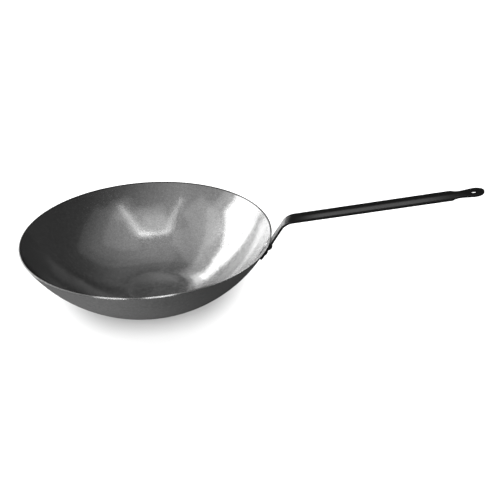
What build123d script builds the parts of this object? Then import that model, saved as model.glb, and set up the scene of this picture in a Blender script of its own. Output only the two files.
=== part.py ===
"""Carbon steel wok with a long flat strip handle held by three rivets.

Millimetres, +Z up. The origin is the centre of the flat base, on its underside.
The handle runs along +X and the whole wok is the same on both sides of the XZ plane.
"""
import os
from math import asin, cos, degrees, hypot, radians, sin, sqrt

from build123d import *

os.makedirs("parts", exist_ok=True)

# Bowl: one disc of sheet steel, spun over a form
rim_radius = 160.0          # outside, at the rim
rim_slope = 64.6            # degrees between the wall and the level, at the rim
base_radius = 35.0          # the flat that the wok stands on
blend_share = 0.6875        # of the rim's radius: the curve between the base and the wall
sheet = 2.0                 # thickness of the steel all over
rim_round_share = 0.3       # of the sheet: the deburred edges of the rim

# Handle: a flat strip of steel, bent once, with an eye at its tip
strip_width = 24.0
strip_thickness = 3.0
edge_round_share = 0.3      # of the strip's thickness: its rolled long edges
contact_depth = 10.0        # from the rim down the wall to where the foot touches it
foot_below = 17.4           # from where the foot touches down to its cut end
foot_above = 34.7           # from where the foot touches up the riser to the bend
foot_corner = 3.0           # rounding of the foot's two cut corners
bend_radius = 20.0          # inside of the bend, on the strip's underside
grip_rise = 13.6            # degrees between the grip and the level
grip_length = 221.0         # straight strip, from the bend to the tip
shoulder_from_tip = 35.5    # from the tip back to where the strip starts to narrow
shoulder_round = 2.0        # rounding of the two corners there
neck_from_tip = 27.0        # from the tip back to the narrowest place
neck_width = 15.8
eye_width = 20.8
eye_hole_radius = 4.1
eye_hole_from_tip = 11.6    # from the tip back to the middle of the hole

# Rivets: two side by side under the rim, one below them on the centre line
shank_radius = 2.5
inner_head_radius = 4.0
inner_head_height = 1.6
outer_head_radius = 4.3
outer_head_height = 2.8
head_lip_share = 0.35       # of a head's height: its straight side below the dome
upper_row_above = 3.0       # from where the foot touches up to the two upper rivets
lower_row_below = 10.3      # from where the foot touches down to the lower rivet
upper_row_spacing = 12.0    # between the two upper rivets, across the strip

# Clearances
foot_gap = 0.1              # between the foot and the wall where they touch
head_gap = 0.05             # under the head of a rivet
hole_gap = 0.05             # around the shank of a rivet
overrun = 5.0               # how far a cutter runs past what it cuts

# The wall is part of a ball, and the blend is an arc that runs into it smoothly
wall_radius = rim_radius / sin(radians(rim_slope))
blend_radius = blend_share * rim_radius
wall_centre_height = blend_radius + sqrt(
    (wall_radius - blend_radius) ** 2 - base_radius**2
)
blend_slope = degrees(asin(base_radius / (wall_radius - blend_radius)))

# The foot is flat, so it touches the round wall at one place
foot_slope = rim_slope - degrees(contact_depth / wall_radius)
along_foot = Vector(cos(radians(foot_slope)), 0, sin(radians(foot_slope)))
out_of_foot = Vector(sin(radians(foot_slope)), 0, -cos(radians(foot_slope)))
foot_from_centre = wall_radius + foot_gap
foot_plane = Plane(
    origin=Vector(0, 0, wall_centre_height) + out_of_foot * foot_from_centre,
    x_dir=along_foot,
    z_dir=out_of_foot,
)

# Each rivet's place on the foot, along it and across it, from where it touches.
# Left and right are as the cook sees them from the grip.
rivet_spots = {
    "rivet_upper_left": (upper_row_above, upper_row_spacing / 2),
    "rivet_upper_right": (upper_row_above, -upper_row_spacing / 2),
    "rivet_lower": (-lower_row_below, 0),
}


def side_view(point):
    """Place of a point in a sketch on the XZ plane."""
    return (point.X, point.Z)


# Bowl: its outside line, thickened inwards and turned about the upright axis
with BuildPart() as bowl:
    with BuildSketch(Plane.YZ):
        with BuildLine():
            floor_line = Line((0, 0), (base_radius, 0))
            blend_arc = JernArc(
                start=floor_line @ 1,
                tangent=floor_line % 1,
                radius=blend_radius,
                arc_size=blend_slope,
            )
            JernArc(
                start=blend_arc @ 1,
                tangent=blend_arc % 1,
                radius=wall_radius,
                arc_size=rim_slope - blend_slope,
            )
            offset(amount=sheet, side=Side.LEFT)
        make_face()
    revolve(axis=Axis.Z)
    rim_edges = bowl.edges().filter_by(GeomType.CIRCLE).sort_by(Axis.Z)[-2:]
    fillet(rim_edges, radius=rim_round_share * sheet)
    with Locations(foot_plane):
        with Locations(*rivet_spots.values()):
            Hole(radius=shank_radius + hole_gap, depth=sheet + overrun)
bowl.part.label = "bowl"
export_step(bowl.part, "parts/bowl.step")


# Handle: the strip's side view as far as the shoulder, then the neck and eye in plan
with BuildPart() as handle:
    with BuildSketch(Plane.XZ):
        with BuildLine():
            foot_line = Line(
                side_view(foot_plane.origin - along_foot * foot_below),
                side_view(foot_plane.origin + along_foot * foot_above),
            )
            bend_arc = JernArc(
                start=foot_line @ 1,
                tangent=foot_line % 1,
                radius=bend_radius + strip_thickness,
                arc_size=grip_rise - foot_slope,
            )
            grip_line = PolarLine(
                start=bend_arc @ 1,
                length=grip_length - shoulder_from_tip,
                angle=grip_rise,
            )
            offset(amount=strip_thickness, side=Side.RIGHT)
        make_face()
    extrude(amount=strip_width / 2, both=True)

    # This plane lies on the grip's upper face, with its origin at the shoulder
    shoulder = grip_line @ 1
    grip_plane = Plane(
        origin=(shoulder.X, 0, shoulder.Y),
        x_dir=(cos(radians(grip_rise)), 0, sin(radians(grip_rise))),
        z_dir=(-sin(radians(grip_rise)), 0, cos(radians(grip_rise))),
    )
    neck_side = (shoulder_from_tip - neck_from_tip, neck_width / 2)
    eye_centre = (shoulder_from_tip - eye_width / 2, 0)
    eye_side = (eye_centre[0], eye_width / 2)
    hole_centre = (shoulder_from_tip - eye_hole_from_tip, 0)
    with BuildSketch(grip_plane):
        with BuildLine():
            Spline((0, strip_width / 2), neck_side, tangents=[(1, -1), (1, 0)])
            Spline(neck_side, eye_side, tangents=[(1, 0), (1, 0)])
            CenterArc(eye_centre, eye_width / 2, start_angle=90, arc_size=-90)
            mirror(about=Plane.XZ)
            Line((0, strip_width / 2), (0, -strip_width / 2))
        make_face()
    extrude(amount=-strip_thickness)
    across_grip = handle.edges().filter_by(Axis(grip_plane.origin, grip_plane.z_dir))
    fillet(across_grip.sort_by(Axis.X)[:2], radius=shoulder_round)

    foot_corners = handle.edges().filter_by(Axis(foot_plane.origin, out_of_foot))
    fillet(foot_corners.sort_by(Axis.Z)[:2], radius=foot_corner)

    # The rolled edges run all round the strip, on both faces
    through_foot = handle.edges().filter_by(Axis(foot_plane.origin, out_of_foot))
    through_grip = handle.edges().filter_by(Axis(grip_plane.origin, grip_plane.z_dir))
    across_strip = handle.edges().filter_by(Axis.Y).sort_by(Axis.Z)[2:]
    fillet(
        handle.edges() - through_foot - through_grip - across_strip,
        radius=edge_round_share * strip_thickness,
    )

    with Locations(foot_plane):
        with Locations(*rivet_spots.values()):
            Hole(radius=shank_radius + hole_gap, depth=strip_thickness + overrun)
    with Locations(grip_plane):
        with Locations(hole_centre):
            Hole(radius=eye_hole_radius, depth=strip_thickness + overrun)
handle.part.label = "handle"
export_step(handle.part, "parts/handle.step")


def inner_seat_depth(along, across):
    """Depth below the foot's inner face of the plane that an inner head sits on.

    The wall falls away from the flat foot all round the place where they touch, so
    the edge of the head that is farthest from that place is the first to meet it.
    """
    farthest = hypot(along, across) + inner_head_radius
    inner_skin_radius = wall_radius - sheet
    return foot_from_centre - sqrt(inner_skin_radius**2 - farthest**2) + head_gap


def make_rivet(along, across):
    """A domed rivet through the foot and the wall, closed over on both sides.

    In its sketch y runs out along the rivet, and is zero at the foot's inner face.
    """
    inner_seat = -inner_seat_depth(along, across)
    inner_lip = inner_seat - head_lip_share * inner_head_height
    inner_top = inner_seat - inner_head_height
    outer_seat = strip_thickness + head_gap
    outer_lip = outer_seat + head_lip_share * outer_head_height
    outer_top = outer_seat + outer_head_height
    rivet_plane = Plane(
        origin=foot_plane.from_local_coords((along, across, 0)),
        x_dir=foot_plane.x_dir,
        z_dir=-foot_plane.y_dir,
    )
    with BuildPart() as rivet:
        with BuildSketch(rivet_plane):
            with BuildLine():
                TangentArc(
                    (0, inner_top), (inner_head_radius, inner_lip), tangent=(1, 0)
                )
                Polyline(
                    (inner_head_radius, inner_lip),
                    (inner_head_radius, inner_seat),
                    (shank_radius, inner_seat),
                    (shank_radius, outer_seat),
                    (outer_head_radius, outer_seat),
                    (outer_head_radius, outer_lip),
                )
                TangentArc(
                    (0, outer_top), (outer_head_radius, outer_lip), tangent=(1, 0)
                )
                Line((0, outer_top), (0, inner_top))
            make_face()
        revolve(axis=Axis(rivet_plane.origin, rivet_plane.y_dir))
    return rivet


for name, (along, across) in rivet_spots.items():
    rivet = make_rivet(along, across)
    rivet.part.label = name
    export_step(rivet.part, f"parts/{name}.step")

# Places and sizes that the mounts are stated from
hole_middle = grip_plane.from_local_coords((*hole_centre, -strip_thickness / 2))
print("hanging hole centre", hole_middle, "axis", grip_plane.z_dir)
print("rim height", wall_centre_height - wall_radius * cos(radians(rim_slope)))
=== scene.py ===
from math import atan2, cos, pi, radians, sin

import bpy
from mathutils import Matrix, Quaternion, Vector


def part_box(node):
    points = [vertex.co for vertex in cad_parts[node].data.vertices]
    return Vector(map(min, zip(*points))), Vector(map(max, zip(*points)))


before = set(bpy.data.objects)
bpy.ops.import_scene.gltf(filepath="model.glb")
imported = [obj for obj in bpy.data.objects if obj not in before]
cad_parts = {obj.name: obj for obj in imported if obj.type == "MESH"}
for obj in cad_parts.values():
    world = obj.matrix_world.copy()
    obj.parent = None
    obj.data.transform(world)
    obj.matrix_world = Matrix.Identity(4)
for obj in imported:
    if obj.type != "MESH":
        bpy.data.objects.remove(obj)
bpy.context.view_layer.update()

scene = bpy.context.scene

# Bowl: one disc of bare cold-rolled carbon steel, spun over a form to a round-sided wok
# with a small flat base. It is degreased and thinly oiled, so it shows the fine rings of
# the spinning, a blotchy oil film and the hair lines of handling, and its rim is deburred. Its rim and
# inside also carry painted shade and painted highlights.
bowl_grey = 0.81            # reflectance of the oiled steel, which has no hue of its own
bowl_polish = (0.1, 0.17)   # roughness where the oil film is thin and where it is thick
bowl_blotches, bowl_clouds, bowl_grain = 230.0, 16.0, 560.0    # to the metre
bowl_rings, bowl_scratches = 420.0, 1100.0                     # to the metre
scratch_rarity = 0.68
scratch_layers = ((0.22, 14.0), (-0.35, 22.0))    # lean from the rings, and cuts round the bowl
blotch_share = 0.6          # of the film's tone, and the clouds have the rest
film_shares, grain_shares, ring_shares = (0.9, 1.08), (0.91, 1.09), (0.98, 1.02)    # of the tone
scratch_share = 1.08
ring_depth, grain_depth, film_depth = 0.000006, 0.00006, 0.00004
ring_strength, grain_strength, film_strength = 0.5, 0.6, 0.6
scratch_roughness = 0.04    # what a scratch and the filed rim add to the roughness
rim_roughness = 0.15
rim_width = 0.0016          # of the band that the file left along the rim
rim_dark, rim_lit, rim_highlight = 0.17, 0.6, 0.95    # shares: painted shade on the far side, the lit side, and painted highlights
highlight_satin = 0.17            # how much light the painted highlight stretches scatter instead of mirroring
rim_lit_side, rim_lit_fade = 215.0, 0.35    # the azimuth that the rim's lit half faces; the far half gets painted shade
rim_highlight_stretches = ((197.0, 8.5), (178.0, 8.0), (130.0, 32.0))    # painted highlights on the rim: azimuth and half length
middle_core, middle_end = 0.03, 0.06        # reach of the painted shade in the middle
shade_left, shade_right = 0.56, 1.0       # the painted shade's tone at either side, darker on the left
painted_light_side, painted_light_tone = Vector((1.0, -0.2, 0.0)), 1.22    # where the wall is painted brighter: painted light
painted_light_start, painted_light_end = 0.055, 0.1
shade_streaks = ((38.0, 17.0, 0.84, 0.2), (262.0, 26.0, 0.58, 0.145))  # painted shade streaks: azimuth, half width, tone, end
streak_fade = 0.045            # over how far a painted shade streak ends
core_share = 0.25           # of a highlight stretch's or shade streak's half width, where it is at full strength
inside_normal = 0.1         # how much a surface looks up where it counts as the bowl's inside
noise_low, noise_high = 0.3, 0.7        # where nearly all of a noise lies
ring_low, ring_high = 0.25, 0.75
camera_azimuth = -20.2      # of the camera's view direction from the object's +Y axis
rim_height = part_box("bowl")[1].z


def toward(azimuth, elevation):
    """Unit vector from the wok to a place, right of straight behind it as the camera sees it."""
    turn = radians(azimuth + camera_azimuth)
    rise = radians(elevation)
    return Vector((sin(turn) * cos(rise), cos(turn) * cos(rise), sin(rise)))


def feed(tree, socket, value):
    """Links the socket to an output, or sets it to a plain value."""
    if isinstance(value, bpy.types.NodeSocket):
        tree.links.new(value, socket)
    else:
        socket.default_value = value


def add_node(tree, kind, settings=(), **inputs):
    """A node of that kind with its settings made and its named inputs set or linked."""
    node = tree.nodes.new(kind)
    for name, value in dict(settings).items():
        setattr(node, name, value)
    for name, value in inputs.items():
        feed(tree, node.inputs[name.replace("_", " ")], value)
    return node


def combine(tree, operation, *values):
    """Output of a Math node that takes numbers or outputs."""
    node = add_node(tree, "ShaderNodeMath", {"operation": operation})
    for socket, value in zip(node.inputs, values):
        feed(tree, socket, value)
    return node.outputs[0]


def product(tree, first, *others):
    """Output of the product of numbers or outputs."""
    for other in others:
        first = combine(tree, "MULTIPLY", first, other)
    return first


def total(tree, first, *others):
    """Output of the sum of numbers or outputs."""
    for other in others:
        first = combine(tree, "ADD", first, other)
    return first


def vector_math(tree, operation, *values):
    """Output of a Vector Math node that takes vectors or outputs, a number where it gives one."""
    node = add_node(tree, "ShaderNodeVectorMath", {"operation": operation})
    for socket, value in zip(node.inputs, values):
        feed(tree, socket, value)
    gives_number = operation in ("DOT_PRODUCT", "DISTANCE", "LENGTH")
    return node.outputs["Value" if gives_number else "Vector"]


def split(tree, vector):
    """The X, Y and Z outputs of a vector."""
    return add_node(tree, "ShaderNodeSeparateXYZ", Vector=vector).outputs


def join(tree, x, y, z=0.0):
    """Output of the vector of three numbers or outputs."""
    return add_node(tree, "ShaderNodeCombineXYZ", X=x, Y=y, Z=z).outputs["Vector"]


def ramp(tree, value, low, high, to_low=0.0, to_high=1.0):
    """Output that goes smoothly from to_low to to_high as value goes from low to high."""
    node = add_node(
        tree,
        "ShaderNodeMapRange",
        {"interpolation_type": "SMOOTHSTEP"},
        Value=value,
        From_Min=low,
        From_Max=high,
        To_Min=to_low,
        To_Max=to_high,
    )
    return node.outputs["Result"]


def noise(tree, place, per_metre, detail=2.0, roughness=0.6):
    """Output of a noise from 0 to 1 with so many features to the metre."""
    node = add_node(
        tree, "ShaderNodeTexNoise", Vector=place, Scale=per_metre, Detail=detail, Roughness=roughness
    )
    return node.outputs["Fac"]


def mottle(tree, value, tone, shares):
    """Output that a noise takes from one share of the tone to another."""
    return ramp(tree, value, noise_low, noise_high, tone * shares[0], tone * shares[1])


def bump(tree, height, depth, strength, below=None):
    """Normal of a surface that the height raises by so many metres, over the one below."""
    node = add_node(tree, "ShaderNodeBump", Height=height, Distance=depth, Strength=strength)
    if below is not None:
        tree.links.new(below, node.inputs["Normal"])
    return node.outputs["Normal"]


def new_group(name, inputs, outputs):
    """An empty node group with named inputs and their values, None for a place, and outputs."""
    tree = bpy.data.node_groups.new(name, "ShaderNodeTree")
    for socket_name, value in inputs.items():
        kind = "NodeSocketVector" if value is None else "NodeSocketFloat"
        socket = tree.interface.new_socket(socket_name, in_out="INPUT", socket_type=kind)
        if value is not None:
            socket.default_value = value
    for socket_name in outputs:
        tree.interface.new_socket(socket_name, in_out="OUTPUT", socket_type="NodeSocketFloat")
    entry = tree.nodes.new("NodeGroupInput")
    result = tree.nodes.new("NodeGroupOutput")
    return tree, entry.outputs, result.inputs


def use_group(tree, group, **inputs):
    """Outputs of the group, placed in a material with its own values."""
    return add_node(tree, "ShaderNodeGroup", {"node_tree": group}, **inputs).outputs


def make_oil_film():
    """Blotches where a thin oil film or scale is thicker, large and small at once."""
    tree, entry, result = new_group(
        "oil_film",
        {"Position": None, "Blotches per Metre": 200.0, "Clouds per Metre": 14.0},
        ("Tone", "Blotches"),
    )
    blotches = noise(tree, entry["Position"], entry["Blotches per Metre"], detail=3.0)
    clouds = noise(tree, entry["Position"], entry["Clouds per Metre"], roughness=0.5)
    tone = total(
        tree, product(tree, blotches, blotch_share), product(tree, clouds, 1.0 - blotch_share)
    )
    tree.links.new(tone, result["Tone"])
    tree.links.new(blotches, result["Blotches"])
    return tree


def make_spun_rings():
    """Fine rings about the upright axis from the spinning roller, and scratches along them."""
    tree, entry, result = new_group(
        "spun_rings",
        {"Position": None, "Rings per Metre": 500.0, "Scratches per Metre": 1100.0, "Rarity": 0.66},
        ("Rings", "Scratches", "Reach"),
    )
    x, y, height = split(tree, entry["Position"])
    squares = [combine(tree, "POWER", side, 2.0) for side in (x, y)]
    reach = combine(tree, "SQRT", total(tree, *squares))
    climb = total(tree, reach, height)
    safe_reach = combine(tree, "MAXIMUM", reach, 0.001)
    around = [combine(tree, "DIVIDE", side, safe_reach) for side in (x, y)]
    spread = product(tree, climb, entry["Rings per Metre"])
    rings = noise(tree, join(tree, *around, spread), 1.0)

    layers = []
    for lean, cuts in scratch_layers:
        slanted = total(tree, climb, product(tree, total(tree, x, y), lean))
        spread = product(tree, slanted, entry["Scratches per Metre"])
        sides = [product(tree, side, cuts) for side in around]
        streaks = noise(tree, join(tree, *sides, spread), 1.0, detail=1.0, roughness=0.4)
        layers.append(ramp(tree, streaks, entry["Rarity"], total(tree, entry["Rarity"], 0.08)))
    tree.links.new(rings, result["Rings"])
    tree.links.new(combine(tree, "MAXIMUM", *layers), result["Scratches"])
    tree.links.new(reach, result["Reach"])
    return tree


oil_film = make_oil_film()
spun_rings = make_spun_rings()


def new_material(name):
    """A material with its tree, its Principled BSDF and the object's own place and normal."""
    material = bpy.data.materials.new(name)
    material.use_nodes = True
    tree = material.node_tree
    own_frame = tree.nodes.new("ShaderNodeTexCoord").outputs
    return material, tree, tree.nodes["Principled BSDF"], own_frame["Object"], own_frame["Normal"]


def grey(tree, value):
    """A neutral colour as light as the value."""
    node = add_node(tree, "ShaderNodeCombineColor", Red=value, Green=value, Blue=value)
    return node.outputs["Color"]


def dress(node_name, material):
    """Gives a node of the frame its material in place of the plain one that it came with."""
    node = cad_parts[node_name]
    node.data.materials.clear()
    node.data.materials.append(material)


def sector(tree, level, azimuth, half_width, outside=0.0, inside=1.0):
    """Output that goes from outside to inside around an azimuth, with sizes in degrees."""
    facing = vector_math(tree, "DOT_PRODUCT", level, toward(azimuth, 0.0))
    edge, core = cos(radians(half_width)), cos(radians(half_width * core_share))
    return ramp(tree, facing, edge, core, outside, inside)


def paint_rim_highlights(tree, level):
    """Where the rim carries painted highlights, from 0 to 1."""
    rubbed_and_highlit = 0.0
    for azimuth, half_length in rim_highlight_stretches:
        rubbed_and_highlit = combine(tree, "MAXIMUM", rubbed_and_highlit, sector(tree, level, azimuth, half_length))
    return rubbed_and_highlit


def paint_inside_shade_and_light(tree, place, level, reach):
    """Tone of the bowl's inside with painted shade and light: darker in the middle and in two streaks,
    brighter on one wall.
    """
    sideways = vector_math(tree, "DOT_PRODUCT", place, toward(90.0, 0.0))
    # The middle is painted darker, most towards the left: painted shade
    middle_shade = ramp(tree, sideways, -middle_core, middle_core, shade_left, shade_right)
    middle = ramp(tree, reach, middle_core, middle_end, middle_shade, 1.0)
    toward_painted_light = vector_math(tree, "DOT_PRODUCT", place, painted_light_side)
    # The wall on that side is painted brighter: painted light
    tone = product(tree, middle, ramp(tree, toward_painted_light, painted_light_start, painted_light_end, 1.0, painted_light_tone))
    for azimuth, half_width, streak_tone, streak_stop in shade_streaks:
        # Two streaks are painted darker: painted shade
        span = sector(tree, level, azimuth, half_width, 1.0, streak_tone)
        span = ramp(tree, reach, middle_core, middle_end, 1.0, span)
        tone = product(tree, tone, ramp(tree, reach, streak_stop - streak_fade, streak_stop, span, 1.0))
    return tone


def make_bowl_steel():
    material, tree, shader, place, normal = new_material("bowl_bare_steel")
    film = use_group(
        tree, oil_film, Position=place, Blotches_per_Metre=bowl_blotches, Clouds_per_Metre=bowl_clouds
    )
    turned = use_group(
        tree,
        spun_rings,
        Position=place,
        Rings_per_Metre=bowl_rings,
        Scratches_per_Metre=bowl_scratches,
        Rarity=scratch_rarity,
    )
    rings, scratches, reach = turned["Rings"], turned["Scratches"], turned["Reach"]
    grain = noise(tree, place, bowl_grain)
    level = vector_math(tree, "NORMALIZE", vector_math(tree, "MULTIPLY", place, (1.0, 1.0, 0.0)))
    inside = ramp(tree, split(tree, normal)["Z"], 0.0, inside_normal)
    rim = ramp(tree, split(tree, place)["Z"], rim_height - rim_width, rim_height - rim_width / 2)
    rubbed_and_highlit = paint_rim_highlights(tree, level)
    # The rim is painted darker on its far side and lighter towards the front left (painted shade), with
    # painted highlights on top
    facing = vector_math(tree, "DOT_PRODUCT", level, toward(rim_lit_side, 0.0))
    rim_tone = ramp(tree, facing, -rim_lit_fade, rim_lit_fade, rim_dark, rim_lit)
    rim_tone = ramp(tree, rubbed_and_highlit, 0.0, 1.0, rim_tone, rim_highlight)

    tone = product(
        tree,
        mottle(tree, film["Tone"], bowl_grey, film_shares),
        ramp(tree, rings, ring_low, ring_high, *ring_shares),
        mottle(tree, grain, 1.0, grain_shares),
        ramp(tree, scratches, 0.0, 1.0, 1.0, scratch_share),
        ramp(tree, rim, 0.0, 1.0, 1.0, rim_tone),
        ramp(tree, inside, 0.0, 1.0, 1.0, paint_inside_shade_and_light(tree, place, level, reach)),
    )
    tone = combine(tree, "MINIMUM", tone, 1.0)
    tree.links.new(grey(tree, tone), shader.inputs["Base Color"])
    # The painted highlights mirror less, so they stay light from any side
    satin = product(tree, rubbed_and_highlit, rim, highlight_satin)
    tree.links.new(combine(tree, "SUBTRACT", 1.0, satin), shader.inputs["Metallic"])

    polish = total(
        tree,
        ramp(tree, film["Blotches"], noise_low, noise_high, *bowl_polish),
        product(tree, scratches, scratch_roughness),
        product(tree, rim, rim_roughness),
    )
    tree.links.new(polish, shader.inputs["Roughness"])
    relief = bump(tree, rings, ring_depth, ring_strength)
    relief = bump(tree, grain, grain_depth, grain_strength, relief)
    relief = bump(tree, film["Blotches"], film_depth, film_strength, relief)
    tree.links.new(relief, shader.inputs["Normal"])
    return material


dress("bowl", make_bowl_steel())

# Handle: one length of hot-rolled strip steel, cropped and forged to an eye at its tip,
# bent once and dipped in black baked lacquer. The lacquer is semi-gloss over the pitted
# scale, and hands and hooks have rubbed it grey along the edges. Its top carries painted highlights
# along the grip and at the bend.
lacquer_black = 0.0015
black_shares = (0.6, 1.6)           # of that tone, where the lacquer is thin and thick
lacquer_polish = (0.14, 0.21)       # roughness there
lacquer_gloss = 0.4
lacquer_blotches, lacquer_clouds = 420.0, 45.0      # to the metre
lacquer_depth, lacquer_strength = 0.00003, 0.5
run_start, run_end = 0.163, 0.173   # along, where the lacquer ran down the riser and is thick
run_roughness = 0.3
line_grey, lines_to_metre, line_rarity = 0.006, 900.0, 0.68
line_layers = ((0.5, 0.035), (-0.9, 0.05))    # turn of the scratches, and how much they stretch
edge_reach, edge_patches, edge_amount = 0.0006, 350.0, 0.6    # of the rubbing along the edges
edge_grey, edge_metal = 0.03, 0.5
grip_highlight_grey = 0.034                   # painted highlight along the grip's top, standing in for the lacquer's reflection
grip_highlight_across = (-0.0112, -0.0092, -0.0035, 0.0025)
grip_highlight_along = (0.185, 0.225, 0.32, 0.39)
bend_highlight_grey = 0.05                   # painted highlight on the bend's top, in patches
bend_highlight_along = (0.1755, 0.1765, 0.179, 0.184)
bend_highlight_patches, bend_highlight_shares = 330.0, (0.3, 1.6)
up_start, up_end = 0.3, 0.6         # how much a face looks up where the painted highlights go


def make_edge_wear():
    """Where an outer edge is rubbed: the rounded normal leaves the true one near an edge."""
    tree, entry, result = new_group(
        "edge_wear",
        {"Position": None, "Reach": 0.001, "Patches per Metre": 300.0, "Amount": 0.5},
        ("Wear",),
    )
    rounded = add_node(tree, "ShaderNodeBevel", {"samples": 4}, Radius=entry["Reach"])
    true_normal = tree.nodes.new("ShaderNodeNewGeometry").outputs["Normal"]
    turn = vector_math(tree, "DOT_PRODUCT", rounded.outputs["Normal"], true_normal)
    edge = ramp(tree, combine(tree, "SUBTRACT", 1.0, turn), 0.01, 0.12)
    patches = noise(tree, entry["Position"], entry["Patches per Metre"], detail=3.0)
    rubbed_and_highlit = ramp(tree, patches, combine(tree, "SUBTRACT", 0.9, entry["Amount"]), 0.9)
    tree.links.new(product(tree, edge, rubbed_and_highlit), result["Wear"])
    return tree


def make_hair_lines():
    """Sparse fine scratches in two directions, lighter than the ground that they cut."""
    tree, entry, result = new_group(
        "hair_lines", {"Position": None, "Lines per Metre": 700.0, "Rarity": 0.66}, ("Lines",)
    )
    layers = []
    for turn, stretch in line_layers:
        turned = add_node(
            tree,
            "ShaderNodeMapping",
            Vector=entry["Position"],
            Rotation=(0.3, 0.2, turn),
            Scale=(stretch, 1.0, 1.0),
        )
        place = turned.outputs["Vector"]
        streaks = noise(tree, place, entry["Lines per Metre"], detail=1.0, roughness=0.4)
        layers.append(ramp(tree, streaks, entry["Rarity"], total(tree, entry["Rarity"], 0.06)))
    tree.links.new(combine(tree, "MAXIMUM", *layers), result["Lines"])
    return tree


edge_wear = make_edge_wear()
hair_lines = make_hair_lines()


def band(tree, value, rise_start, rise_end, fall_start, fall_end):
    """Mask that rises smoothly between the first two values and falls between the others."""
    rise = ramp(tree, value, rise_start, rise_end)
    return product(tree, rise, ramp(tree, value, fall_start, fall_end, 1.0, 0.0))


def make_black_lacquer():
    material, tree, shader, place, normal = new_material("handle_black_lacquer")
    film = use_group(
        tree,
        oil_film,
        Position=place,
        Blotches_per_Metre=lacquer_blotches,
        Clouds_per_Metre=lacquer_clouds,
    )
    wear = use_group(
        tree,
        edge_wear,
        Position=place,
        Reach=edge_reach,
        Patches_per_Metre=edge_patches,
        Amount=edge_amount,
    )["Wear"]
    lines = use_group(
        tree, hair_lines, Position=place, Lines_per_Metre=lines_to_metre, Rarity=line_rarity
    )["Lines"]
    along, across = split(tree, place)[:2]
    upward = ramp(tree, split(tree, normal)["Z"], up_start, up_end)
    # A painted highlight along the grip's top face
    grip_highlight = product(
        tree, upward, band(tree, across, *grip_highlight_across), band(tree, along, *grip_highlight_along)
    )
    # A patchy painted highlight on the top of the bend
    bend_spots = mottle(tree, noise(tree, place, bend_highlight_patches), 1.0, bend_highlight_shares)
    bend_highlight = product(tree, upward, band(tree, along, *bend_highlight_along), bend_spots)

    tone = total(
        tree,
        mottle(tree, film["Tone"], lacquer_black, black_shares),
        product(tree, lines, line_grey),
        product(tree, wear, edge_grey),
        product(tree, grip_highlight, grip_highlight_grey),
        product(tree, bend_highlight, bend_highlight_grey),
    )
    tree.links.new(grey(tree, tone), shader.inputs["Base Color"])
    tree.links.new(product(tree, wear, edge_metal), shader.inputs["Metallic"])
    shader.inputs["Specular IOR Level"].default_value = lacquer_gloss
    tree.links.new(ramp(tree, along, run_start, run_end, 1.0, 0.0), shader.inputs["Coat Weight"])
    shader.inputs["Coat Roughness"].default_value = run_roughness
    polish = ramp(tree, film["Blotches"], noise_low, noise_high, *lacquer_polish)
    tree.links.new(polish, shader.inputs["Roughness"])
    relief = bump(tree, film["Blotches"], lacquer_depth, lacquer_strength)
    tree.links.new(relief, shader.inputs["Normal"])
    return material


dress("handle", make_black_lacquer())

# Rivets: three soft steel rivets driven hot through the foot and the wall, two under the
# rim and one below them. Their outer heads were lacquered with the handle, and the inner
# heads are bare steel, lightly dimpled by the set that closed them.
rivet_names = ("rivet_upper_left", "rivet_upper_right", "rivet_lower")
rivet_grey, rivet_shares = 0.78, (0.75, 1.2)
rivet_metal = 0.88          # the set has left the heads satin, so they scatter some of the light
rivet_polish = (0.22, 0.32)
rivet_blotches, rivet_clouds = 600.0, 150.0     # to the metre
rivet_depth, rivet_strength = 0.00008, 0.6
wall_centre = (0.0, 0.0, 0.16727)   # of the ball that the bowl's wall is part of
wall_reach = 0.1765                 # from there to the middle of the wall's thickness
lacquer_fade = 0.001                # from bare steel to lacquer, along the shank


def make_rivet_steel():
    material, tree, shader, place = new_material("rivet_steel")[:4]
    reach = vector_math(tree, "DISTANCE", place, wall_centre)
    outside = ramp(tree, reach, wall_reach, wall_reach + lacquer_fade)
    film = use_group(
        tree, oil_film, Position=place, Blotches_per_Metre=rivet_blotches, Clouds_per_Metre=rivet_clouds
    )
    bare = mottle(tree, film["Tone"], rivet_grey, rivet_shares)
    black = mottle(tree, film["Tone"], lacquer_black, black_shares)
    tone = ramp(tree, outside, 0.0, 1.0, bare, black)
    tree.links.new(grey(tree, tone), shader.inputs["Base Color"])
    tree.links.new(ramp(tree, outside, 0.0, 1.0, rivet_metal, 0.0), shader.inputs["Metallic"])
    polish = ramp(tree, film["Blotches"], noise_low, noise_high, *rivet_polish)
    tree.links.new(polish, shader.inputs["Roughness"])
    relief = bump(tree, film["Blotches"], rivet_depth, rivet_strength)
    tree.links.new(relief, shader.inputs["Normal"])
    return material


rivet_steel = make_rivet_steel()
for rivet_name in rivet_names:
    dress(rivet_name, rivet_steel)

# Floor: a wide sheet of white paper. The camera sees it white but for the wok's shadow,
# and the steel sees it as the lamps light it, with some white added.
floor_half = 9.0
paper_white = 0.8
camera_lift = 0.25          # white that only the camera sees near the wok
camera_share = 0.32         # how much of the real light and shadow it sees on top
far_start, far_end = 0.1, 0.25      # from the wok out, where the camera sees pure white
side_squeeze = 1.45                 # how much nearer that is at the wok's sides
steel_lift_left, steel_lift_right = 0.13, 0.012    # white that the steel sees besides
lift_half_width = 0.12
steel_lift_behind = 0.8             # more of it behind the wok
steel_share, steel_share_behind = 0.02, 0.45       # how much of the real light the steel sees
behind_start, behind_end = 0.06, 0.2

floor_mesh = bpy.data.meshes.new("floor")
corners = [(x * floor_half, y * floor_half, 0) for x, y in ((-1, -1), (1, -1), (1, 1), (-1, 1))]
floor_mesh.from_pydata(corners, [], [(0, 1, 2, 3)])
floor = bpy.data.objects.new("floor", floor_mesh)
scene.collection.objects.link(floor)


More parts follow.
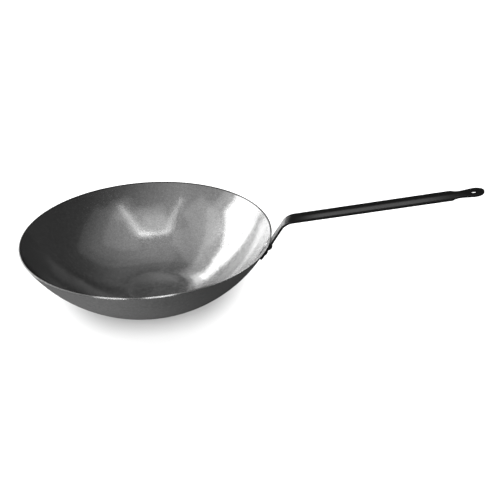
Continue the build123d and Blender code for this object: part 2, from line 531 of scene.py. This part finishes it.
def make_paper():
    material = bpy.data.materials.new("white_paper")
    material.use_nodes = True
    tree = material.node_tree
    tree.nodes.clear()
    rays = tree.nodes.new("ShaderNodeLightPath").outputs
    seen, mirrored = rays["Is Camera Ray"], rays["Is Glossy Ray"]
    place = tree.nodes.new("ShaderNodeTexCoord").outputs["Object"]
    away = vector_math(tree, "DOT_PRODUCT", place, toward(0.0, 0.0))
    aside = vector_math(tree, "DOT_PRODUCT", place, toward(90.0, 0.0))

    share = ramp(tree, away, behind_start, behind_end, steel_share, steel_share_behind)
    share = ramp(tree, mirrored, 0.0, 1.0, paper_white, share)
    share = ramp(tree, seen, 0.0, 1.0, share, camera_share)
    plain = add_node(tree, "ShaderNodeBsdfDiffuse", Color=grey(tree, share))

    spread = join(tree, product(tree, aside, side_squeeze), away)
    distance = vector_math(tree, "LENGTH", spread)
    camera_white = ramp(tree, distance, far_start, far_end, camera_lift, 1.0)
    lift_behind = ramp(tree, away, behind_start, behind_end, 0.0, steel_lift_behind)
    steel_lift = ramp(
        tree, aside, -lift_half_width, lift_half_width, steel_lift_left, steel_lift_right
    )
    steel_white = product(tree, mirrored, total(tree, steel_lift, lift_behind))
    white = ramp(tree, seen, 0.0, 1.0, steel_white, camera_white)
    glow = add_node(tree, "ShaderNodeEmission", Color=(1, 1, 1, 1), Strength=white)

    both = tree.nodes.new("ShaderNodeAddShader")
    tree.links.new(plain.outputs[0], both.inputs[0])
    tree.links.new(glow.outputs[0], both.inputs[1])
    add_node(tree, "ShaderNodeOutputMaterial", Surface=both.outputs[0])
    return material


floor_mesh.materials.append(make_paper())

# Studio: a dim room with two large soft boxes behind the wok on the left, scrims beside
# them, and a hood overhead whose bright strips, a V with a bar, the polished bowl repeats.
# Azimuths are from straight behind the wok, as the camera sees it, and grow to the right.
soft_boxes = (
    # name, azimuth, elevation, half width and height per step away, radiance, distance, roll
    ("key_left_box", -62.9, 16.5, 0.262, 0.3, 1.05, 4.0, -9.0),
    ("key_right_box", -31.6, 18.0, 0.251, 0.32, 1.05, 4.0, 0.0),
    ("key_end_box", -13.5, 22.0, 0.07, 0.28, 0.6, 4.1, 0.0),
    ("far_glow", -6.5, 30.5, 0.05, 0.035, 0.2, 4.15, 0.0),
    ("scrim", -52.2, 27.0, 0.8, 0.45, 0.2, 4.6, 0.0),
    ("side_scrim", -90.0, 46.0, 0.4, 0.2, 0.13, 4.8, 0.0),
)
left_top, left_middle, left_end = (0.54, -0.83), (0.3, -0.53), (0.115, -0.222)
right_top, right_middle, right_end = (-0.81, -0.84), (-0.4, -0.44), (-0.27, -0.188)
hood_strips = (
    # name, start and end as steps right and away, half width per step up, radiance, height
    ("hood_left_wing", (0.45, -0.7), (0.45, 0.6), 0.7, 0.04, 4.6),
    ("hood_left_inner_wing", (0.42, -0.7), (0.42, 0.35), 0.48, 0.025, 4.65),
    ("hood_left_panel", (0.4, -0.62), (0.4, 0.1), 0.26, 0.07, 4.5),
    ("hood_right_panel", (-0.48, -0.15), (-0.48, 0.75), 0.17, 0.09, 4.55),
    ("hood_middle_panel", (-0.1, -0.78), (-0.1, -0.2), 0.26, 0.09, 4.4),
    ("hood_middle_core", (-0.11, -0.56), (-0.11, -0.2), 0.19, 0.12, 4.45),
    ("hood_left_haze", (0.6, -1.0), left_middle, 0.24, 0.06, 4.12),
    ("hood_left_glow_low", left_top, left_middle, 0.11, 0.09, 4.1),
    ("hood_left_glow_high", left_middle, left_end, 0.1, 0.17, 4.0),
    ("hood_left_seam_low", left_top, left_middle, 0.036, 0.4, 3.95),
    ("hood_left_seam_high", left_middle, left_end, 0.03, 0.42, 3.85),
    ("hood_right_glow_low", right_top, right_middle, 0.065, 0.08, 4.2),
    ("hood_right_glow_high", right_middle, right_end, 0.06, 0.12, 4.3),
    ("hood_right_seam_low", right_top, right_middle, 0.036, 0.32, 3.8),
    ("hood_right_seam_high", right_middle, right_end, 0.032, 0.34, 3.75),
    ("hood_cross_seam", left_end, right_end, 0.018, 1.0, 3.9),
    ("hood_corner_glow", (0.14, -0.2), (-0.02, -0.2), 0.045, 0.35, 3.7),
)
front_azimuth, front_elevation, front_distance = 180.0, 42.0, 3.5
front_width, front_length, front_radiance = 3.0, 2.2, 20.0
dark_side, light_side = 0.036, 0.29         # of the room
light_azimuth, light_elevation = -102.0, 38.0
light_scale, light_shift, light_power = 0.625, 0.375, 2.3


def add_lamp(name, place, width, length, radiance, turn=None, roll=0.0):
    """A soft box of that width and length that looks to the wok or, with a turn, down."""
    data = bpy.data.lights.new(name, "AREA")
    data.shape = "RECTANGLE"
    data.size = width
    data.size_y = length
    data.energy = radiance * pi * width * length
    lamp = bpy.data.objects.new(name, data)
    lamp.location = place
    if turn is None:
        lamp.rotation_mode = "QUATERNION"
        tilt = Quaternion((0, 0, 1), radians(roll))
        lamp.rotation_quaternion = place.to_track_quat("Z", "Y") @ tilt
    else:
        lamp.rotation_euler = (0, 0, turn)
    lamp.visible_camera = False
    scene.collection.objects.link(lamp)
    return lamp


def add_soft_box(name, azimuth, elevation, half_width, half_height, radiance, distance, roll):
    """A soft box that stands in that direction and looks to the wok."""
    width, length = 2 * half_width * distance, 2 * half_height * distance
    add_lamp(name, toward(azimuth, elevation) * distance, width, length, radiance, roll=roll)


def on_hood(right, away, height):
    """Place on the hood, as steps right of the wok and away from the camera per step up."""
    turn = radians(-camera_azimuth)
    x = right * cos(turn) - away * sin(turn)
    y = right * sin(turn) + away * cos(turn)
    return Vector((x, y, 1.0)) * height


def add_hood_strip(name, start, end, half_width, radiance, height):
    """A strip lamp in the hood from one place to another. Strips that cross differ in height."""
    a, b = on_hood(*start, height), on_hood(*end, height)
    span = b - a
    width = 2 * half_width * height
    add_lamp(name, (a + b) / 2, width, span.length, radiance, turn=atan2(-span.x, span.y))


for soft_box in soft_boxes:
    add_soft_box(*soft_box)
for strip in hood_strips:
    add_hood_strip(*strip)

# The front light is only for the paper and the lacquer: the steel doesn't mirror it
front_place = toward(front_azimuth, front_elevation) * front_distance
front_light = add_lamp("front_light", front_place, front_width, front_length, front_radiance)
front_light.visible_glossy = False


def make_room():
    """The dim room: lighter on the left and overhead, and white where the camera sees it."""
    world = bpy.data.worlds.new("studio_room")
    world.use_nodes = True
    tree = world.node_tree
    tree.nodes.clear()
    way = tree.nodes.new("ShaderNodeTexCoord").outputs["Generated"]
    lean = vector_math(tree, "DOT_PRODUCT", way, toward(light_azimuth, light_elevation))
    share = combine(tree, "MULTIPLY_ADD", lean, light_scale, light_shift)
    share = combine(tree, "POWER", combine(tree, "MAXIMUM", share, 0.0), light_power)
    light = combine(tree, "MULTIPLY_ADD", share, light_side, dark_side)
    seen = tree.nodes.new("ShaderNodeLightPath").outputs["Is Camera Ray"]
    strength = ramp(tree, seen, 0.0, 1.0, light, 1.0)
    background = add_node(tree, "ShaderNodeBackground", Color=(1, 1, 1, 1), Strength=strength)
    add_node(tree, "ShaderNodeOutputWorld", Surface=background.outputs[0])
    return world


scene.world = make_room()
scene.view_settings.view_transform = "Standard"

# Camera: on a stand in front of the wok, a little to the right of its middle, looking down.
camera_place = Vector((0.24, -0.6523, 0.4455))
camera_tilt_down, camera_turn_left = 29.37, 9.29
camera_lens, sensor_width = 42.72, 36.0     # millimetres

camera_data = bpy.data.cameras.new("camera")
camera_data.sensor_width = sensor_width
camera_data.lens = camera_lens
camera = bpy.data.objects.new("camera", camera_data)
camera.location = camera_place
camera.rotation_euler = (radians(90 - camera_tilt_down), 0, radians(camera_turn_left))
scene.collection.objects.link(camera)
scene.camera = camera
